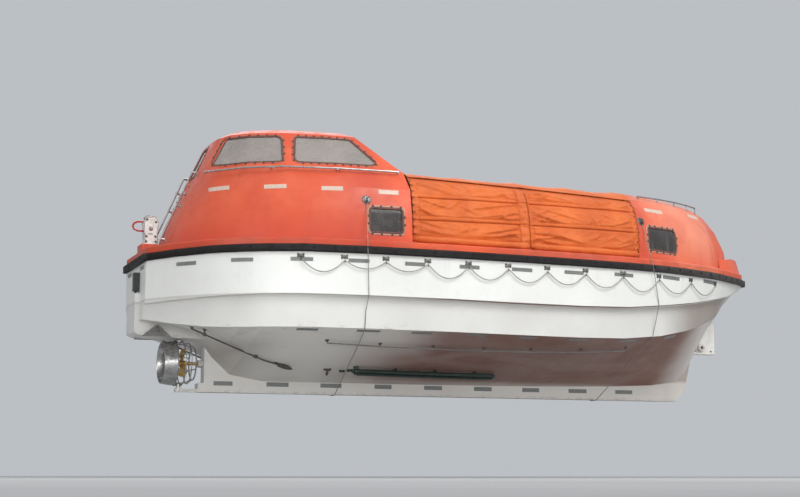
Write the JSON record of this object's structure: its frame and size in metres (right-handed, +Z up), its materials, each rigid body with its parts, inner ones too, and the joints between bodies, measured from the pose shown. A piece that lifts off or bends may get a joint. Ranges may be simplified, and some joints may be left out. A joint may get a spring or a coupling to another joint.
{
  "type": "enclosed lifeboat",
  "caption": "Davit-launched lifeboat: white hull with rubber strake, orange rigid end canopies and raised steering cabin, canvas-covered middle, steerable propeller nozzle and release hooks.",
  "frame": {"origin": "in the still waterline, amidships between the ends of the strake, on the centreline", "axes": "+X towards the bow, +Y to port, +Z up; the keel's underside is level at z = -0.72"},
  "size_m": [9.626, 4.344, 3.532],
  "materials": {
    "hull_white": "glass-reinforced plastic, lightly weathered",
    "orange_moulding": "glossy moulded plastic",
    "canvas": "coated canvas",
    "black_rubber": "matt",
    "stainless": "brushed",
    "galvanised": "dull zinc",
    "white_paint": "satin",
    "red_paint": "satin",
    "green_paint": "satin",
    "grey_paint": "satin",
    "bronze": "worn",
    "window_clear": "slightly clouded",
    "window_dark": "dark tinted",
    "black_plastic": "matt",
    "rope": "laid rope, weathered",
    "bench_white": "matt"
  },
  "bodies": {
    "boat": {"hull": "hull_white", "bow_fin": "white_paint", "fender": "black_rubber", "deck_moulding": "orange_moulding", "aft_canopy": "orange_moulding", "fore_canopy": "orange_moulding", "cabin_window_aft_stbd": "window_clear", "cabin_window_aft_port": "window_clear", "cabin_window_fwd_stbd": "window_clear", "cabin_window_fwd_port": "window_clear", "aft_side_light_stbd": "window_dark", "aft_side_light_port": "window_dark", "fore_side_light_stbd": "window_dark", "fore_side_light_port": "window_dark", "front_screen": "window_clear", "aft_window": "window_clear", "side_cover_aft_stbd": "canvas", "side_cover_aft_port": "canvas", "side_cover_fwd_stbd": "canvas", "side_cover_fwd_port": "canvas", "canvas_roof": "canvas", "canopy_frame": "stainless", "cabin_rail_stbd": "stainless", "cabin_rail_port": "stainless", "aft_handrail_stbd": "stainless", "aft_handrail_port": "stainless", "fore_rail_stbd": "stainless", "fore_rail_port": "stainless", "aft_hook_frame": "white_paint", "fore_hook_frame": "white_paint", "hang_off_link": "red_paint", "keel_cooler_stbd": "green_paint", "keel_cooler_port": "green_paint", "bottom_rail_stbd": "grey_paint", "bottom_rail_port": "grey_paint", "stern_lug_stbd": "grey_paint", "stern_lug_port": "grey_paint", "transom_box": "black_plastic", "side_bench_stbd": "bench_white", "side_bench_port": "bench_white", "centre_bench": "bench_white", "engine_block": "grey_paint", "helm_platform": "bench_white", "lifeline_stbd": "rope", "lifeline_port": "rope", "helm_console": "bench_white", "helm_seat": "black_plastic"},
    "nozzle_body": {"steering_nozzle": "stainless"},
    "propeller_body": {"propeller": "bronze"},
    "wheel_body": {"helm_wheel": "black_plastic"},
    "aft_claw": {"aft_hook": "galvanised"},
    "fore_claw": {"fore_hook": "galvanised"},
    "aft_lid": {"aft_hatch": "orange_moulding"},
    "fore_lid": {"fore_hatch": "orange_moulding"},
    "roof_lid": {"roof_hatch": "orange_moulding"}
  },
  "joints": [
    {"name": "nozzle_steer", "type": "hinge", "parent": "boat", "child": "nozzle_body", "pos_m": [-4.13, 0, -0.335], "axis": [0, 0, 1], "range_deg": [-30, 30]},
    {"name": "helm_turn", "type": "hinge", "parent": "boat", "child": "wheel_body", "pos_m": [-2.56, 0, 1.8], "axis": [0.9394, 0, 0.3429], "range_deg": [-545, 545]},
    {"name": "propeller_spin", "type": "hinge", "parent": "boat", "child": "propeller_body", "pos_m": [-4.09, 0, -0.335], "axis": [1, 0, 0], "continuous": true},
    {"name": "aft_hook_release", "type": "hinge", "parent": "boat", "child": "aft_claw", "pos_m": [-4.565, 0, 1.478], "axis": [0, 1, 0], "range_deg": [0, 60]},
    {"name": "fore_hook_release", "type": "hinge", "parent": "boat", "child": "fore_claw", "pos_m": [4.03, 0, 1.478], "axis": [0, 1, 0], "range_deg": [0, 60]},
    {"name": "aft_hatch_hinge", "type": "hinge", "parent": "boat", "child": "aft_lid", "pos_m": [-4.078, 0, 2.084], "axis": [0, 1, 0], "range_deg": [0, 100]},
    {"name": "fore_hatch_hinge", "type": "hinge", "parent": "boat", "child": "fore_lid", "pos_m": [3.586, 0, 2.044], "axis": [0, -1, 0], "range_deg": [0, 95]},
    {"name": "roof_hatch_hinge", "type": "hinge", "parent": "boat", "child": "roof_lid", "pos_m": [-3.345, 0, 2.8], "axis": [0, -1, 0], "range_deg": [0, 100]}
  ],
  "couplings": [
    {"joint": "helm_turn", "follows": "nozzle_steer", "ratio": 18}
  ]
}
